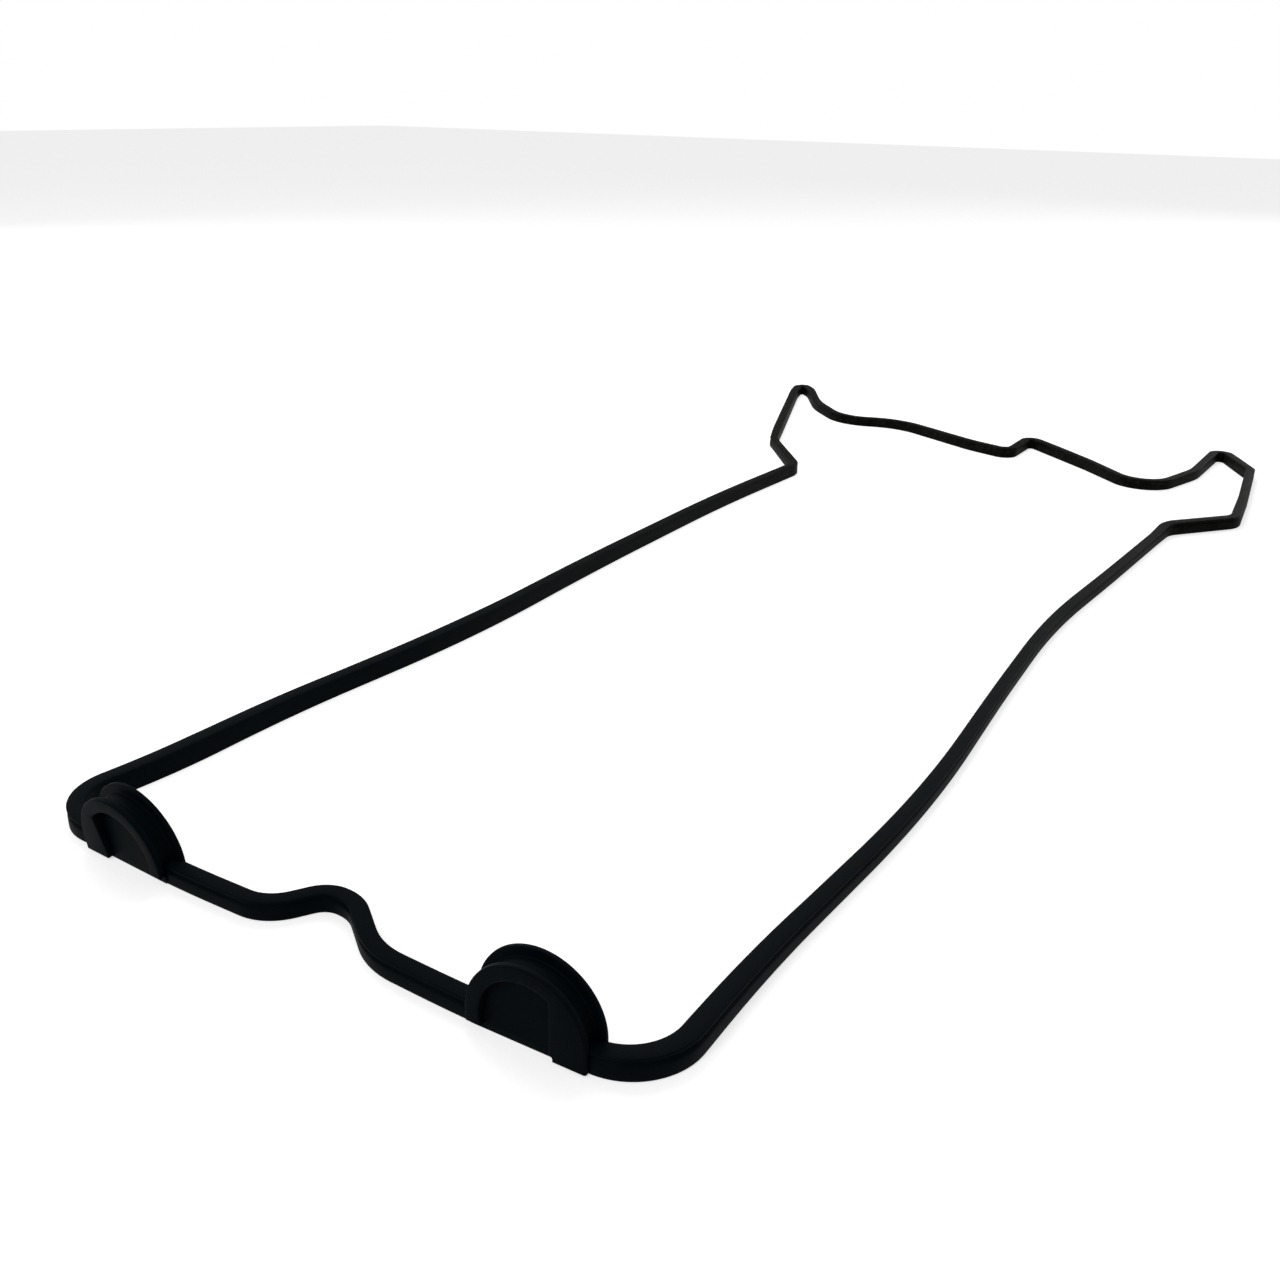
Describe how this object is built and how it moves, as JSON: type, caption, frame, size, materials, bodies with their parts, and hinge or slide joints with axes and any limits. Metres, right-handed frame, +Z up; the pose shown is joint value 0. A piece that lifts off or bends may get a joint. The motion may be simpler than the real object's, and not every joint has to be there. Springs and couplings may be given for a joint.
{
  "type": "valve cover gasket",
  "caption": "Moulded rubber loop gasket that seals a long valve cover, with half-moon plugs at one end for the camshaft bores and a spread, eared timing end.",
  "frame": {"origin": "middle of the bounding box, on the flat surface that the gasket lies on", "axes": "+Z up from the cover side to the head side, +Y from the half-moon plugs to the timing end, +X across to the right as seen from the plugs"},
  "size_m": [0.367, 0.7556, 0.0267],
  "materials": {
    "rubber": "satin"
  },
  "bodies": {
    "root": {"valve_cover_gasket": "rubber"}
  },
  "joints": []
}
